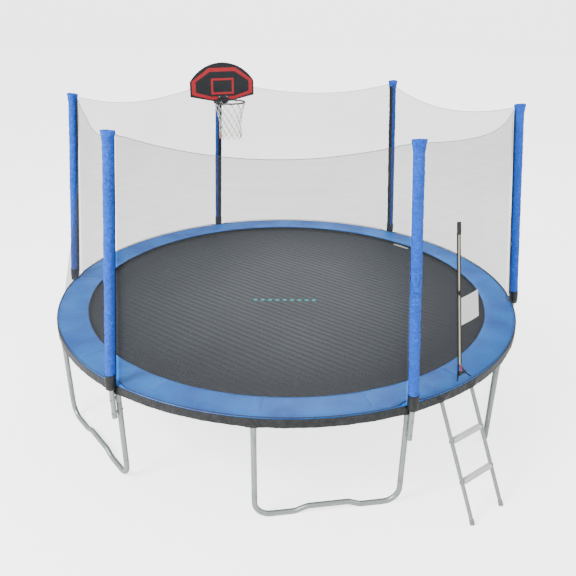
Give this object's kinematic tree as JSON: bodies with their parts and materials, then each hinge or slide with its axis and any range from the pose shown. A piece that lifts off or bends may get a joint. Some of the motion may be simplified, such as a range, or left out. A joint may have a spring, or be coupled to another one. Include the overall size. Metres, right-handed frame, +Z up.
{
  "type": "trampoline",
  "caption": "Round backyard trampoline: sprung woven bed on a tubular ring with bent legs, blue spring cover, padded poles with a net enclosure, ladder and basketball hoop.",
  "frame": {"origin": "on the ground, under the middle of the ring", "axes": "+Z up; +X to the right of someone who faces the enclosure with the ladder at their right; -Y towards that person; the poles stand at -126, -66, -6, 54, 114 and 174 degrees from +X"},
  "size_m": [4.3578, 4.3077, 2.857],
  "materials": {
    "galvanised_steel": "hot-dip galvanised steel tube, satin with a faint spangle",
    "sleeve_fabric": "bright blue coated fabric over foam tube, creased",
    "cover_pvc": "blue PVC-coated cloth over foam, semi-gloss, sewn radial seams",
    "woven_bed": "black woven polypropylene, faint ribbed sheen",
    "net_mesh": "fine translucent polyethylene netting",
    "spring_steel": "zinc-plated spring wire",
    "zip_plastic": "red moulded pull on a zip slider",
    "step_white": "white ribbed plastic tread",
    "board_black": "black moulded board with red printed bands",
    "black_steel": "black powder-coated steel",
    "hoop_cord": "braided white nylon cord, tan at the lower loops"
  },
  "bodies": {
    "frame": {"top_rail_1": "galvanised_steel", "top_rail_2": "galvanised_steel", "top_rail_3": "galvanised_steel", "top_rail_4": "galvanised_steel", "top_rail_5": "galvanised_steel", "top_rail_6": "galvanised_steel", "top_rail_7": "galvanised_steel", "top_rail_8": "galvanised_steel", "top_rail_9": "galvanised_steel", "top_rail_10": "galvanised_steel", "top_rail_11": "galvanised_steel", "top_rail_12": "galvanised_steel", "leg_tube_1": "galvanised_steel", "leg_tube_2": "galvanised_steel", "leg_tube_3": "galvanised_steel", "leg_tube_4": "galvanised_steel", "leg_tube_5": "galvanised_steel", "leg_tube_6": "galvanised_steel", "leg_tube_7": "galvanised_steel", "leg_tube_8": "galvanised_steel", "leg_tube_9": "galvanised_steel", "leg_tube_10": "galvanised_steel", "leg_tube_11": "galvanised_steel", "leg_tube_12": "galvanised_steel", "leg_base_1": "galvanised_steel", "leg_base_2": "galvanised_steel", "leg_base_3": "galvanised_steel", "leg_base_4": "galvanised_steel", "leg_base_5": "galvanised_steel", "leg_base_6": "galvanised_steel", "pole_1": "galvanised_steel", "pole_2": "galvanised_steel", "pole_3": "galvanised_steel", "pole_4": "galvanised_steel", "pole_5": "galvanised_steel", "pole_6": "galvanised_steel", "pole_sleeve_1": "sleeve_fabric", "pole_sleeve_2": "sleeve_fabric", "pole_sleeve_3": "sleeve_fabric", "pole_sleeve_4": "sleeve_fabric", "pole_sleeve_5": "sleeve_fabric", "pole_sleeve_6": "sleeve_fabric", "net_panel_1": "net_mesh", "net_panel_2": "net_mesh", "net_panel_3": "net_mesh", "net_panel_4": "net_mesh", "net_panel_5": "net_mesh", "net_panel_6": "net_mesh", "springs": "spring_steel", "spring_cover": "cover_pvc", "backboard": "board_black", "hoop_bracket": "black_steel", "hoop_rim": "black_steel", "hoop_net": "hoop_cord"},
    "bed": {"mat": "woven_bed"},
    "ladder": {"ladder_rail_left": "galvanised_steel", "ladder_rail_right": "galvanised_steel", "ladder_step_1": "step_white", "ladder_step_2": "step_white"},
    "zip": {"zip_slider": "zip_plastic"}
  },
  "joints": [
    {"name": "bed_bounce", "type": "slide", "parent": "frame", "child": "bed", "axis": [0, 0, 1], "range_m": [-0.35, 0], "stiffness_N_per_m": 8000, "springref_m": 0.02, "deforming": ["springs"]},
    {"name": "ladder_swing", "type": "hinge", "parent": "frame", "child": "ladder", "pos_m": [1.23525, -1.70018, 0.854], "axis": [-0.809, -0.5878, 0], "range_deg": [0, 25]},
    {"name": "zip_travel", "type": "slide", "parent": "frame", "child": "zip", "axis": [-0.0544, 0.2798, 0.9585], "range_m": [0, 0.93]}
  ]
}
